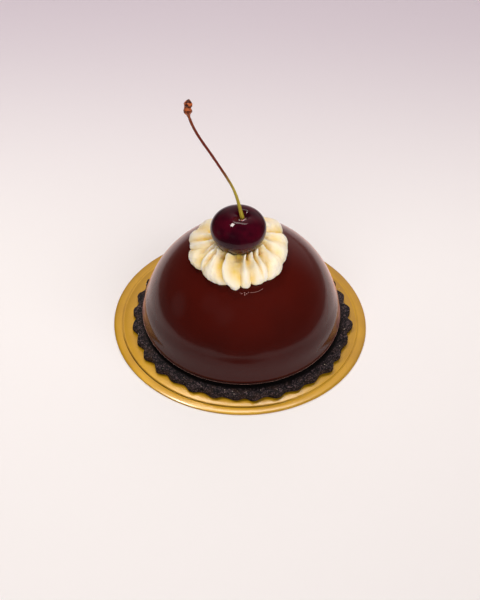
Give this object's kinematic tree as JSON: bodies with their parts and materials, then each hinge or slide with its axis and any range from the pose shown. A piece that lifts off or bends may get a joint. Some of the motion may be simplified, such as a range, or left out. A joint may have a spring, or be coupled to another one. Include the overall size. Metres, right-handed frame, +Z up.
{
  "type": "black forest cake",
  "caption": "Individual dome cake under dark mirror glaze on a fluted dark biscuit and a round gold card, topped with a piped cream rosette and a stemmed cherry.",
  "frame": {"origin": "centre of the gold card's underside, on the surface the cake stands on", "axes": "+Z up through the dome, -Y towards the front of the cake, +X to its right"},
  "size_m": [0.1, 0.1, 0.1033],
  "materials": {
    "gold_card_foil": "gold foil on pressed board, satin",
    "black_cocoa_biscuit": "baked black cocoa biscuit, dry and grainy",
    "dark_mirror_glaze": "dark chocolate mirror glaze, glossy",
    "whipped_cream": "piped ivory cream, soft satin",
    "cherry_skin": "dark sweet cherry skin, glazed",
    "cherry_stalk": "fresh cherry stalk, green at the foot and brown above"
  },
  "bodies": {
    "root": {"gold_card": "gold_card_foil", "biscuit": "black_cocoa_biscuit", "glazed_dome": "dark_mirror_glaze", "cream_rosette": "whipped_cream", "cherry": "cherry_skin", "cherry_stem": "cherry_stalk"}
  },
  "joints": []
}
